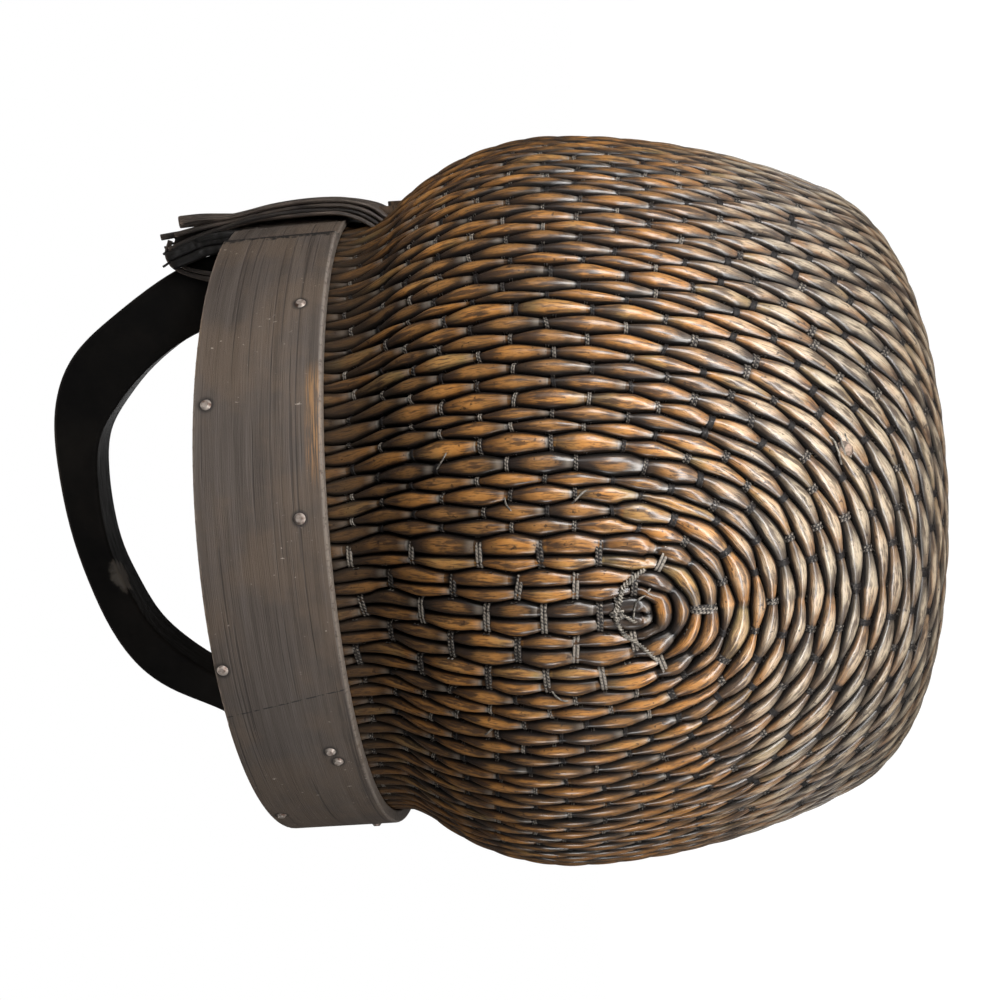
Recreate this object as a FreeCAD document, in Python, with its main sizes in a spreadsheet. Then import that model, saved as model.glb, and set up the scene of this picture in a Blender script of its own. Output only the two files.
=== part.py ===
import FreeCAD, Part

import math
import os

import Sketcher
from FreeCAD import Placement, Rotation, Vector

# Rice basket: a bowl woven of willow rods, a bentwood rim nailed round its mouth and a bent
# wooden handle whose two feet stand inside the rim and are bound there with bark strips.
# Millimetres. The mouth faces +Z, the handle's feet are on +X (right) and -X (left), and the
# front is -Y. The origin is the middle of the worn flat under the base.

doc = FreeCAD.newDocument("rice_basket")

# Driving sizes

SIZES = {
    "wall_thickness": 6.0,
    "base_flat_radius": 30.0,
    "base_bow_radius": 327.0,
    "base_bow_angle": 14.7,
    "corner_radius": 55.5,
    "corner_angle": 65.3,
    "flank_radius": 325.0,
    "flank_angle": 87.5,
    "shoulder_radius": 111.0,
    "shoulder_angle": 128.0,
    "neck_curve_radius": 35.0,
    "collar_height": 44.0,
    "groove_depth": 2.0,
    "groove_width": 1.8,
    "groove_top": 250.0,
    "seed_height": 141.0,
    "seed_radius": 177.0,
    "seed_turn": 4.5,
    "rim_outer_radius": 154.0,
    "rim_thickness": 6.0,
    "rim_height": 51.5,
    "rim_base_height": 257.9,
    "rim_shift": 3.45,
    "rim_lean": 1.9,
    "rim_edge_round": 1.2,
    "lap_step": 2.6,
    "handle_thickness": 20.0,
    "handle_edge_round": 1.7,
    "lash_width": 9.0,
    "lash_thickness": 2.2,
    "lash_loop_offset": 15.5,
    "lash_strip_offset": 5.0,
    "strap_height": 8.0,
    "right_strap_level": 242.5,
    "left_strap_level": 236.0,
    "nail_head_radius": 2.3,
    "nail_head_height": 1.1,
    "nail_shank_radius": 0.9,
    "nail_length": 12.0,
}

sheet = doc.addObject("Spreadsheet::Sheet", "Sizes")
for row, (alias, value) in enumerate(SIZES.items(), start=1):
    sheet.set(f"A{row}", alias)
    sheet.set(f"B{row}", str(value))
    sheet.setAlias(f"B{row}", alias)
doc.recompute()


def cell(alias):
    """The expression that reads one size from the sheet."""
    return f"Sizes.{alias}"


# Helpers for bodies and sketches


def new_body(label):
    body = doc.addObject("PartDesign::Body", label)
    body.Label = label
    return body


def new_sketch(body, plane, name, offset=Placement()):
    """A sketch on one of the body's own origin planes, moved by offset in that plane's frame."""
    role = {"XY": "XY_Plane", "XZ": "XZ_Plane"}[plane]
    sketch = body.newObject("Sketcher::SketchObject", name)
    support = [item for item in body.Origin.OriginFeatures if item.Role == role][0]
    sketch.AttachmentSupport = [(support, "")]
    sketch.MapMode = "FlatFace"
    sketch.AttachmentOffset = offset
    return sketch


def flat(x, y):
    return Vector(x, y, 0.0)


def polar(radius, degrees):
    return flat(radius * math.cos(math.radians(degrees)), radius * math.sin(math.radians(degrees)))


def join_ends(sketch, count, first=0):
    """Ties the end of each of count edges to the start of the next, all the way round."""
    for index in range(count):
        after = (index + 1) % count
        sketch.addConstraint(Sketcher.Constraint("Coincident", first + index, 2, first + after, 1))


def pad(body, sketch, name, length_expression, symmetric=False):
    feature = body.newObject("PartDesign::Pad", name)
    feature.Profile = sketch
    feature.SideType = "Symmetric" if symmetric else "One side"
    feature.setExpression("Length", length_expression)
    sketch.Visibility = False
    return feature


def cut(body, sketch, name, length_expression, symmetric=False, upwards=False):
    feature = body.newObject("PartDesign::Pocket", name)
    feature.Profile = sketch
    feature.SideType = "Symmetric" if symmetric else "One side"
    feature.Reversed = upwards
    feature.setExpression("Length", length_expression)
    sketch.Visibility = False
    return feature


# Woven body
# The bowl is turned from a half outline of four tangent arcs: a nearly flat base, a tight lower
# corner, a long flank and a round shoulder. Each arc runs from one slope to the next, and slopes
# are measured from level, so that 90 degrees is an upright wall. Above the shoulder a reverse
# curve turns the wall upright again. There the rings are no longer centred on the bowl's axis:
# they move over and tip until they lie inside the rim, which sits a little off centre and leans.

ARCS = [
    ("base_bow_radius", "base_bow_angle"),
    ("corner_radius", "corner_angle"),
    ("flank_radius", "flank_angle"),
    ("shoulder_radius", "shoulder_angle"),
]


def bowl_outline(inset):
    """The joints between the bowl's arcs, as expressions and as numbers, inset from its outside."""
    radius_text = cell("base_flat_radius")
    height_text = "0"
    radius = SIZES["base_flat_radius"]
    height = 0.0
    slope = 0.0
    slope_text = "0"
    joints = []
    for arc, end_slope in [(None, None)] + ARCS:
        if arc:
            turn = math.radians(SIZES[end_slope])
            radius += SIZES[arc] * (math.sin(turn) - math.sin(slope))
            height += SIZES[arc] * (math.cos(slope) - math.cos(turn))
            turn_text = f"{cell(end_slope)} * 1 deg"
            radius_text += f" + {cell(arc)} * (sin({turn_text}) - sin({slope_text} * 1 deg))"
            height_text += f" + {cell(arc)} * (cos({slope_text} * 1 deg) - cos({turn_text}))"
            slope = turn
            slope_text = cell(end_slope)
        step = inset * SIZES["wall_thickness"]
        wall_text = f"{inset} * {cell('wall_thickness')}"
        joints.append({
            "radius": radius - step * math.sin(slope),
            "height": height + step * math.cos(slope),
            "radius_text": f"{radius_text} - {wall_text} * sin({slope_text} * 1 deg)",
            "height_text": f"{height_text} + {wall_text} * cos({slope_text} * 1 deg)",
        })
    return joints


def draw_bowl(sketch, inset):
    """The half outline from the axis out along the base, up the arcs and back to the axis."""
    joints = bowl_outline(inset)
    first, last = joints[0], joints[-1]
    sketch.addGeometry(Part.LineSegment(flat(0, first["height"]), flat(first["radius"], first["height"])))
    slope = 0.0
    for (arc, end_slope), start, end in zip(ARCS, joints, joints[1:]):
        turn = math.radians(SIZES[end_slope])
        radius = SIZES[arc] - inset * SIZES["wall_thickness"]
        centre = flat(start["radius"] - radius * math.sin(slope), start["height"] + radius * math.cos(slope))
        circle = Part.Circle(centre, Vector(0, 0, 1), radius)
        sketch.addGeometry(Part.ArcOfCircle(circle, slope - math.pi / 2, turn - math.pi / 2))
        slope = turn
    sketch.addGeometry(Part.LineSegment(flat(last["radius"], last["height"]), flat(0, last["height"])))
    sketch.addGeometry(Part.LineSegment(flat(0, last["height"]), flat(0, first["height"])))
    count = len(ARCS) + 3
    join_ends(sketch, count)
    sketch.addConstraint(Sketcher.Constraint("PointOnObject", 0, 1, -2))
    sketch.addConstraint(Sketcher.Constraint("Horizontal", 0))
    sketch.addConstraint(Sketcher.Constraint("Horizontal", count - 2))
    sketch.addConstraint(Sketcher.Constraint("Vertical", count - 1))
    for index, joint in enumerate(joints):
        across = sketch.addConstraint(Sketcher.Constraint("DistanceX", -1, 1, index, 2, joint["radius"]))
        sketch.setExpression(f"Constraints[{across}]", joint["radius_text"])
        up = sketch.addConstraint(Sketcher.Constraint("DistanceY", -1, 1, index, 2, joint["height"] or 0.0))
        sketch.setExpression(f"Constraints[{up}]", joint["height_text"])
    for index, (arc, _) in enumerate(ARCS, start=1):
        bend = sketch.addConstraint(
            Sketcher.Constraint("Radius", index, SIZES[arc] - inset * SIZES["wall_thickness"]))
        sketch.setExpression(f"Constraints[{bend}]", f"{cell(arc)} - {inset} * {cell('wall_thickness')}")


def neck_ring(body, name, inset, slope_degrees, share):
    """A ring of the neck where the wall has the given slope, moved share of the way to the rim."""
    top = bowl_outline(0)[-1]
    slope = math.radians(slope_degrees)
    start = math.radians(SIZES["shoulder_angle"])
    bend = SIZES["neck_curve_radius"]
    step = inset * SIZES["wall_thickness"]
    radius = top["radius"] - bend * (math.sin(slope) - math.sin(start)) - step * math.sin(slope)
    height = top["height"] + bend * (math.cos(slope) - math.cos(start)) + step * math.cos(slope)
    offset = Placement(Vector(-share * SIZES["rim_shift"], 0, height), Rotation())
    sketch = new_sketch(body, "XY", name, offset)
    sketch.addGeometry(Part.Circle(flat(0, 0), Vector(0, 0, 1), radius))
    sketch.addConstraint(Sketcher.Constraint("Coincident", 0, 3, -1, 1))
    ring = sketch.addConstraint(Sketcher.Constraint("Radius", 0, radius))
    bends = f"{cell('neck_curve_radius')} * (sin({slope_degrees} deg) - sin({cell('shoulder_angle')} * 1 deg))"
    walls = f"{inset} * {cell('wall_thickness')} * sin({slope_degrees} deg)"
    sketch.setExpression(f"Constraints[{ring}]", f"{top['radius_text']} - {bends} - {walls}")
    sketch.setExpression("AttachmentOffset.Base.x", f"-{share} * {cell('rim_shift')}")
    return sketch


def collar_ring(body, name, inset, above):
    """The woven wall's top ring inside the rim, square to the rim's leaning axis."""
    lean = math.radians(SIZES["rim_lean"])
    reach = SIZES["collar_height"] + above
    inner = SIZES["rim_outer_radius"] - SIZES["rim_thickness"]
    place = Placement(
        Vector(-SIZES["rim_shift"] - reach * math.sin(lean), 0, SIZES["rim_base_height"] + reach * math.cos(lean)),
        Rotation(Vector(0, 1, 0), -SIZES["rim_lean"]))
    sketch = new_sketch(body, "XY", name, place)
    sketch.addGeometry(Part.Circle(flat(0, 0), Vector(0, 0, 1), inner - 0.1 - inset * SIZES["wall_thickness"]))
    sketch.addConstraint(Sketcher.Constraint("Coincident", 0, 3, -1, 1))
    ring = sketch.addConstraint(Sketcher.Constraint("Radius", 0, inner - inset * SIZES["wall_thickness"]))
    rim_inside = f"{cell('rim_outer_radius')} - {cell('rim_thickness')}"
    sketch.setExpression(f"Constraints[{ring}]", f"{rim_inside} - 0.1 - {inset} * {cell('wall_thickness')}")
    return sketch


def loft(body, kind, name, rings, ruled):
    feature = body.newObject(f"PartDesign::{kind}", name)
    feature.Profile = rings[0]
    feature.Sections = rings[1:]
    feature.Ruled = ruled
    for ring in rings:
        ring.Visibility = False
    return feature


def draw_slot(sketch, corners):
    """A closed outline of straight edges."""
    first = sketch.GeometryCount
    for start, end in zip(corners, corners[1:] + corners[:1]):
        sketch.addGeometry(Part.LineSegment(start, end))
    join_ends(sketch, len(corners), first)


def draw_u_slot(sketch, reach):
    """A narrow outline like a letter U: two upright legs, reach apart from the middle, and a half round."""
    half = SIZES["groove_width"] / 2
    level = SIZES["seed_height"]
    top = SIZES["groove_top"]
    outer = reach + half
    inner = reach - half
    first = sketch.GeometryCount
    middle = flat(0, level)
    sketch.addGeometry(Part.LineSegment(flat(-outer, top), flat(-outer, level)))
    sketch.addGeometry(Part.ArcOfCircle(Part.Circle(middle, Vector(0, 0, 1), outer), math.pi, 2 * math.pi))
    sketch.addGeometry(Part.LineSegment(flat(outer, level), flat(outer, top)))
    sketch.addGeometry(Part.LineSegment(flat(outer, top), flat(inner, top)))
    sketch.addGeometry(Part.LineSegment(flat(inner, top), flat(inner, level)))
    sketch.addGeometry(Part.ArcOfCircle(Part.Circle(middle, Vector(0, 0, 1), inner), math.pi, 2 * math.pi))
    sketch.addGeometry(Part.LineSegment(flat(-inner, level), flat(-inner, top)))
    sketch.addGeometry(Part.LineSegment(flat(-inner, top), flat(-outer, top)))


# The rods run in nested U shapes round the line where the weaving starts, on the front and on the
# back. Grooves between every third pair of rods show their run: U slots near the start, and further
# out upright slots that go on as straight ones across the base.

U_ANGLES = [3, 9, 15, 21, 27, 33]
SIDE_ANGLES = [39, 45, 51, 57, 63, 69, 75, 81, 87]


def groove_bowl(body):
    """Cuts the slots right through the solid bowl, which the core then fills up to their depth."""
    turned = Rotation(Vector(0, 0, 1), SIZES["seed_turn"])
    upright = Rotation(Vector(0, 1, 0), SIZES["seed_turn"])
    half = SIZES["groove_width"] / 2
    reach = SIZES["seed_radius"]
    round_start = new_sketch(body, "XZ", "u_slots", Placement(Vector(0, 0, 0), upright))
    for angle in U_ANGLES:
        draw_u_slot(round_start, reach * math.sin(math.radians(angle)))
    cut(body, round_start, "u_grooves", f"3 * {cell('seed_radius')}", symmetric=True)
    level = Vector(0, 0, SIZES["seed_height"])
    across = new_sketch(body, "XY", "base_slots", Placement(level, turned))
    for angle in SIDE_ANGLES:
        for side in (-1, 1):
            line = side * reach * math.cos(math.radians(angle))
            draw_slot(across, [flat(-200, line - half), flat(200, line - half),
                               flat(200, line + half), flat(-200, line + half)])
    cut(body, across, "base_grooves", f"{cell('seed_height')} + 10")
    around = new_sketch(body, "XY", "flank_slots", Placement(level, turned))
    for angle in SIDE_ANGLES:
        for bearing in (angle, 180 - angle, 180 + angle, -angle):
            out = polar(1.0, bearing - 90)
            side = flat(-out.y, out.x) * half
            draw_slot(around, [out * 110 - side, out * 200 - side, out * 200 + side, out * 110 + side])
    cut(body, around, "flank_grooves", f"{cell('groove_top')} - {cell('seed_height')}", upwards=True)


NECK_SLOPES = [("a", SIZES["shoulder_angle"], 0.0), ("b", 112.0, 0.35), ("c", 100.0, 0.75), ("d", 90.0, 1.0)]

woven = new_body("woven_body")
bowl_sketch = new_sketch(woven, "XZ", "bowl_outline")
draw_bowl(bowl_sketch, 0)
bowl = woven.newObject("PartDesign::Revolution", "bowl")
bowl.Profile = bowl_sketch
bowl.ReferenceAxis = (bowl_sketch, ["V_Axis"])
bowl.Angle = 360.0
neck_rings = [neck_ring(woven, f"neck_ring_{tag}", 0, slope, share) for tag, slope, share in NECK_SLOPES]
loft(woven, "AdditiveLoft", "neck", neck_rings, False)
groove_bowl(woven)
core_share = SIZES["groove_depth"] / SIZES["wall_thickness"]
core_sketch = new_sketch(woven, "XZ", "core_outline")
draw_bowl(core_sketch, core_share)
core = woven.newObject("PartDesign::Revolution", "bowl_core")
core.Profile = core_sketch
core.ReferenceAxis = (core_sketch, ["V_Axis"])
core.Angle = 360.0
core_rings = [neck_ring(woven, f"core_ring_{tag}", core_share, slope, share) for tag, slope, share in NECK_SLOPES]
loft(woven, "AdditiveLoft", "neck_core", core_rings, False)
loft(woven, "AdditiveLoft", "collar", [neck_rings[-1], collar_ring(woven, "collar_ring", 0, 0.0)], True)

hollow_sketch = new_sketch(woven, "XZ", "hollow_outline")
draw_bowl(hollow_sketch, 1)
hollow = woven.newObject("PartDesign::Groove", "bowl_hollow")
hollow.Profile = hollow_sketch
hollow.ReferenceAxis = (hollow_sketch, ["V_Axis"])
hollow.Angle = 360.0
inner_rings = [neck_ring(woven, f"neck_hollow_{tag}", 1, slope, share) for tag, slope, share in NECK_SLOPES]
loft(woven, "SubtractiveLoft", "neck_hollow", inner_rings, False)
loft(woven, "SubtractiveLoft", "collar_hollow", [inner_rings[-1], collar_ring(woven, "collar_hollow_ring", 1, 2.0)],
     True)

# Rim band
# One strip of wood bent into a hoop. Its outer end stops just short of the right foot's lashing,
# and from there the strip's other end lies deeper and comes up to full thickness past the foot.

LAP_START = -15.5
LAP_MIDDLE = 11.0
LAP_END = 38.0

rim = new_body("rim_band")
rim.Placement = Placement(
    Vector(-SIZES["rim_shift"], 0, SIZES["rim_base_height"]), Rotation(Vector(0, 1, 0), -SIZES["rim_lean"]))
rim_sketch = new_sketch(rim, "XY", "rim_section")
for radius, expression in (
        (SIZES["rim_outer_radius"], cell("rim_outer_radius")),
        (SIZES["rim_outer_radius"] - SIZES["rim_thickness"], f"{cell('rim_outer_radius')} - {cell('rim_thickness')}")):
    edge = rim_sketch.addGeometry(Part.Circle(flat(0, 0), Vector(0, 0, 1), radius))
    rim_sketch.addConstraint(Sketcher.Constraint("Coincident", edge, 3, -1, 1))
    size = rim_sketch.addConstraint(Sketcher.Constraint("Radius", edge, radius))
    rim_sketch.setExpression(f"Constraints[{size}]", expression)
hoop = pad(rim, rim_sketch, "hoop", cell("rim_height"))
doc.recompute()

rounds = rim.newObject("PartDesign::Fillet", "hoop_edges")
hoop_circles = [f"Edge{number}" for number, edge in enumerate(hoop.Shape.Edges, start=1)
                if isinstance(edge.Curve, Part.Circle)]
rounds.Base = (hoop, hoop_circles)
rounds.setExpression("Radius", cell("rim_edge_round"))


lap_sketch = new_sketch(rim, "XY", "lap_outline")
outside = SIZES["rim_outer_radius"]
beyond = outside + 8.0
lap_floor = [
    polar(outside - SIZES["lap_step"], LAP_START),
    polar(outside - 0.62 * SIZES["lap_step"], LAP_MIDDLE),
    polar(outside + 0.05, LAP_END),
]
lap_sketch.addGeometry(Part.Arc(*lap_floor))
lap_sketch.addGeometry(Part.LineSegment(lap_floor[2], polar(beyond, LAP_END)))
lap_sketch.addGeometry(Part.Arc(polar(beyond, LAP_END), polar(beyond, LAP_MIDDLE), polar(beyond, LAP_START)))
lap_sketch.addGeometry(Part.LineSegment(polar(beyond, LAP_START), lap_floor[0]))
lap = rim.newObject("PartDesign::Pocket", "lap")
lap.Profile = lap_sketch
lap.SideType = "Symmetric"
lap.setExpression("Length", f"3 * {cell('rim_height')}")
lap_sketch.Visibility = False

# Bail handle
# A squared branch bent to an arch. It is thickest at the right foot and thins towards the left.
# Both feet stand upright inside the woven wall and end below the rim.

RIGHT_FOOT_END = 238.0
LEFT_FOOT_END = 230.0
OUTER_EDGE = [
    (136, 300), (134.8, 320), (130.5, 341), (121, 361), (107, 383), (87, 407), (64, 419), (30, 423.5),
    (-5, 422.5), (-35, 417.5), (-62, 409.5), (-84, 396.5), (-96, 382), (-107, 361), (-124, 333), (-138, 306),
    (-144.6, 278),
]
INNER_EDGE = [
    (-126, 278), (-119, 306), (-104, 332), (-84, 363), (-71, 378), (-58, 388.5), (-37, 397.5), (-18, 403),
    (4, 405), (26, 404), (48, 398.5), (63, 387.5), (75, 376), (86, 362), (97, 342), (108, 318), (113.5, 290),
]


def through(points, closed=False):
    """A smooth curve through points given as pairs."""
    curve = Part.BSplineCurve()
    curve.interpolate([flat(x, y) for x, y in points], closed)
    return curve


def upright_ends(points, first, last):
    """A smooth curve through the points that starts and ends upright, up for 1 and down for -1."""
    curve = Part.BSplineCurve()
    curve.interpolate(
        Points=[flat(x, y) for x, y in points], InitialTangent=flat(0, first), FinalTangent=flat(0, last))
    return curve


handle = new_body("bail_handle")
handle_sketch = new_sketch(handle, "XZ", "handle_outline")
left_foot = [(OUTER_EDGE[-1][0], LEFT_FOOT_END), (INNER_EDGE[0][0], LEFT_FOOT_END)]
right_foot = [(INNER_EDGE[-1][0], RIGHT_FOOT_END), (OUTER_EDGE[0][0], RIGHT_FOOT_END)]
handle_sketch.addGeometry(upright_ends(OUTER_EDGE, 1, -1))
for start, end in zip([OUTER_EDGE[-1]] + left_foot, left_foot + [INNER_EDGE[0]]):
    handle_sketch.addGeometry(Part.LineSegment(flat(*start), flat(*end)))
handle_sketch.addGeometry(upright_ends(INNER_EDGE, 1, -1))
for start, end in zip([INNER_EDGE[-1]] + right_foot, right_foot + [OUTER_EDGE[0]]):
    handle_sketch.addGeometry(Part.LineSegment(flat(*start), flat(*end)))
arch = pad(handle, handle_sketch, "arch", cell("handle_thickness"), symmetric=True)
doc.recompute()

arrises = handle.newObject("PartDesign::Fillet", "arch_edges")
long_edges = [f"Edge{number}" for number, edge in enumerate(arch.Shape.Edges, start=1)
              if edge.BoundBox.YLength < 0.001]
arrises.Base = (arch, long_edges)
arrises.setExpression("Radius", cell("handle_edge_round"))

# Lashings
# At each foot two bark strips make closed loops over the rim: up its outside, over the foot and
# down inside, with the lower end pushed out through the weave under the rim. Between them two
# more strips run up the outside and end in cut tips. A strap round the foot's inner face comes
# out through the weave below the rim, and keeps the foot against the wall.

RIGHT_LOOP = [
    (146.5, 254.5), (152.5, 256), (157, 263), (158, 275), (156.3, 290), (152.8, 304), (149.6, 316), (147.8, 330),
    (145.6, 342), (140.5, 350.5), (130.5, 349), (124, 336), (121.5, 318), (124, 300), (128, 282), (132.5, 267),
    (139, 257),
]
LEFT_LOOP = [
    (-154.5, 244), (-161, 245.5), (-165.8, 253), (-167, 265), (-166, 280), (-163, 294), (-160.6, 307),
    (-157.5, 319), (-152, 331), (-142, 339), (-131.5, 336), (-125.5, 323), (-126, 306), (-130, 287), (-134.5, 270),
    (-140, 256), (-147, 246.5),
]
RIGHT_STRIP = [
    (146.5, 255.5), (152.5, 257), (158, 263.5), (159.4, 275), (157.8, 290), (154.2, 304), (151, 316),
    (149.8, 330), (149.2, 342), (149.2, 354),
]
LEFT_STRIP = [
    (-154.5, 245), (-161, 246.5), (-166.6, 253.5), (-168.2, 265), (-167.4, 280), (-164.6, 294), (-162.2, 307),
    (-159.6, 319), (-156.5, 331), (-153.5, 343),
]
RIGHT_STRAP = [
    (152.5, -15.5), (140, -15), (126, -13.2), (117, -12.8), (112.2, -9.6), (111.6, 0), (112.2, 9.6), (117, 12.8),
    (126, 13.2), (140, 15), (152.5, 15.5),
]
LEFT_STRAP = [
    (-155, 15.5), (-147, 15), (-137, 13.2), (-129.5, 12.8), (-124.6, 9.6), (-124, 0), (-124.6, -9.6),
    (-129.5, -12.8), (-137, -13.2), (-147, -15), (-155, -15.5),
]


def beside(points, distance, closed):
    """The points moved sideways off their smooth curve by distance, to the left of its run."""
    curve = through(points, closed)
    moved = []
    for x, y in points:
        along = curve.tangent(curve.parameter(flat(x, y)))[0]
        moved.append((x - distance * along.y, y + distance * along.x))
    return moved


def bark_strip(label, plane, offset, points, closed, width_expression):
    """A flat strip whose side view follows points, padded evenly about its own plane."""
    half = SIZES["lash_thickness"] / 2
    body = new_body(label)
    sketch = new_sketch(body, plane, f"{label}_path", Placement(Vector(0, 0, offset), Rotation()))
    left = beside(points, half, closed)
    right = beside(points, -half, closed)
    sketch.addGeometry(through(left, closed))
    if closed:
        sketch.addGeometry(through(right, closed))
    else:
        right.reverse()
        sketch.addGeometry(Part.LineSegment(flat(*left[-1]), flat(*right[0])))
        sketch.addGeometry(through(right))
        sketch.addGeometry(Part.LineSegment(flat(*right[-1]), flat(*left[0])))
    pad(body, sketch, f"{label}_strip", width_expression, symmetric=True)
    return body


lash_bodies = []
for side, loop, strip, strap in (
        ("right", RIGHT_LOOP, RIGHT_STRIP, RIGHT_STRAP), ("left", LEFT_LOOP, LEFT_STRIP, LEFT_STRAP)):
    for place, sign in (("near", 1), ("far", -1)):
        lash_bodies.append(bark_strip(
            f"{side}_lash_{place}_loop", "XZ", sign * SIZES["lash_loop_offset"], loop, True, cell("lash_width")))
        lash_bodies.append(bark_strip(
            f"{side}_lash_{place}_strip", "XZ", sign * SIZES["lash_strip_offset"], strip, False, cell("lash_width")))
    lash_bodies.append(bark_strip(
        f"{side}_foot_strap", "XY", SIZES[f"{side}_strap_level"], strap, False, cell("strap_height")))

# Rim nails
# Small nails in two staggered rows go through the rim and the woven wall. Each is placed by its
# bearing round the rim and its height above the rim's lower edge.

LOWER_ROW = [(-36, 10), (-71, 10), (-110, 12.5), (-112.5, 10.5), (-147, 11), (147, 12), (110, 10), (72, 11)]
UPPER_ROW = [(-53, 46), (-93, 48), (-130, 46), (-163, 47), (163, 46), (127, 47), (90, 46), (52, 47)]

nails = []
for number, (bearing, level) in enumerate(LOWER_ROW + UPPER_ROW, start=1):
    shank = doc.addObject("Part::Cylinder", f"shank_{number}")
    shank.setExpression("Radius", cell("nail_shank_radius"))
    shank.setExpression("Height", f"{cell('nail_length')} + 0.2")
    shank.setExpression("Placement.Base.z", f"-{cell('nail_length')}")
    head = doc.addObject("Part::Cone", f"head_{number}")
    head.setExpression("Radius1", cell("nail_head_radius"))
    head.setExpression("Radius2", f"0.6 * {cell('nail_head_radius')}")
    head.setExpression("Height", cell("nail_head_height"))
    nail = doc.addObject("Part::Fuse", f"nail_{number}")
    nail.Base = shank
    nail.Tool = head
    outward = polar(1.0, bearing)
    seat = polar(SIZES["rim_outer_radius"], bearing) + Vector(0, 0, level)
    nail.Placement = rim.Placement.multiply(Placement(seat, Rotation(Vector(0, 0, 1), outward)))
    nails.append(nail)
nail_group = doc.addObject("Part::Compound", "rim_nails")
nail_group.Label = "rim_nails"
nail_group.Links = nails

# Check and export

doc.recompute()
nodes = [woven, rim, handle] + lash_bodies + [nail_group]
for item in doc.Objects:
    if "Invalid" in item.State or "Error" in item.State:
        raise RuntimeError(f"{item.Label} did not build: {item.State}")
for node in nodes:
    if node.Shape.isNull() or not node.Shape.isValid() or not node.Shape.Solids:
        raise RuntimeError(f"{node.Label} has no valid solid")

os.makedirs("parts", exist_ok=True)
for node in nodes:
    node.Shape.exportStep(f"parts/{node.Label}.step")
    box = node.Shape.BoundBox
    print(node.Label, len(node.Shape.Solids), round(node.Shape.Volume), box.XMin, box.XMax, box.ZMin, box.ZMax)
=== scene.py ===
import math

import bpy
import numpy as np
from mathutils import Matrix


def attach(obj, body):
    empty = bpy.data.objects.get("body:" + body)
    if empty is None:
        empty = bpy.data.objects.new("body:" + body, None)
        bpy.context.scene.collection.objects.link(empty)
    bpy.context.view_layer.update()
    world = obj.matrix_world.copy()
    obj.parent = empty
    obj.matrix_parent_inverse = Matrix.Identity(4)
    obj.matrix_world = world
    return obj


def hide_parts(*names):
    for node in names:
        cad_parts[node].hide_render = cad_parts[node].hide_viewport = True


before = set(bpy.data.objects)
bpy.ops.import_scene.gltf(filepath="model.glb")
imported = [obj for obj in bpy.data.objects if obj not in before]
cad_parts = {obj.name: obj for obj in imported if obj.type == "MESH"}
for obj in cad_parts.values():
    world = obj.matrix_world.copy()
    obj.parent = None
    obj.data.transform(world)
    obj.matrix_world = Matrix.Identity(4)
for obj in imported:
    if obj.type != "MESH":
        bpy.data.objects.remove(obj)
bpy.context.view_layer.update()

# A rice basket. Its bowl is woven of willow rods that are bound by hemp cord, its rim is one strip
# of wood bent into a hoop and nailed on, and a bent wooden handle is lashed inside the rim with
# bark. The sizes below are in millimetres and every mesh is in metres, in the frame of the CAD part.


# Willow rods
# Each rod runs down from the rim, round a seed line on the front or back, across the bowl and up to
# the rim again, so that the rods nest like letters U. Cord binds every rod at intervals, and between
# two bindings the rod bulges while its neighbours are pinched.

WALL_ARCS = [(327.0, 14.7), (55.5, 65.3), (325.0, 87.5), (111.0, 128.0), (-35.0, 90.0)]
BASE_FLAT = 30.0
COLLAR = 44.0
RIM_SHIFT = 3.45
RIM_LEAN = math.radians(1.9)
SEED_HEIGHT = 141.0
SEED_BEARING = math.radians(-85.5)
RODS = 45
ROD_TURN = math.pi / 2 / RODS


def wall_outline():
    """The outline's joints: length from the base's middle, radius, height, slope and bend of each arc."""
    joints = [(0.0, 0.0, 0.0, 0.0, 0.0)]
    length, radius, height, slope = BASE_FLAT, BASE_FLAT, 0.0, 0.0
    for bend, degrees in WALL_ARCS:
        joints.append((length, radius, height, slope, 1 / bend))
        turn = math.radians(degrees)
        length += bend * (turn - slope)
        radius += bend * (math.sin(turn) - math.sin(slope))
        height += bend * (math.cos(slope) - math.cos(turn))
        slope = turn
    joints.append((length, radius, height, slope, 0.0))
    return np.array(joints)


OUTLINE = wall_outline()
NECK_TOP = OUTLINE[-1, 0]
WALL_TOP = NECK_TOP + COLLAR


def wall_point(bearing, length, depth):
    """The point of the wall at a bearing and an outline length, depth inside its outer face.

    Along an arc the slope grows by length over radius, and the radius and height follow its sine
    and cosine. Above the neck the ring moves over and tips, in proportion to the length.
    """
    part = np.clip(np.searchsorted(OUTLINE[:, 0], length, side="right") - 1, 0, len(OUTLINE) - 1)
    start, radius0, height0, slope0, bend = np.moveaxis(OUTLINE[part], -1, 0)
    run = length - start
    slope = slope0 + run * bend
    straight = bend == 0
    curve = np.where(straight, 1.0, bend)
    radius = np.where(straight, radius0 + run * np.cos(slope0), radius0 + (np.sin(slope) - np.sin(slope0)) / curve)
    height = np.where(straight, height0 + run * np.sin(slope0), height0 + (np.cos(slope0) - np.cos(slope)) / curve)
    radius = radius - depth * np.sin(slope)
    height = height + depth * np.cos(slope)
    neck = length > OUTLINE[-2, 0]
    moved = np.where(neck, np.interp(np.degrees(slope), [90, 100, 112, 128], [1.0, 0.75, 0.35, 0.0]), 0.0)
    rise = np.clip(length - NECK_TOP, 0, COLLAR)
    tip = rise / COLLAR * math.sin(RIM_LEAN)
    x = radius * np.cos(bearing) - moved * RIM_SHIFT - rise * math.sin(RIM_LEAN)
    y = radius * np.sin(bearing)
    return np.stack([x, y, height + tip * radius * np.cos(bearing)], axis=-1)


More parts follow.
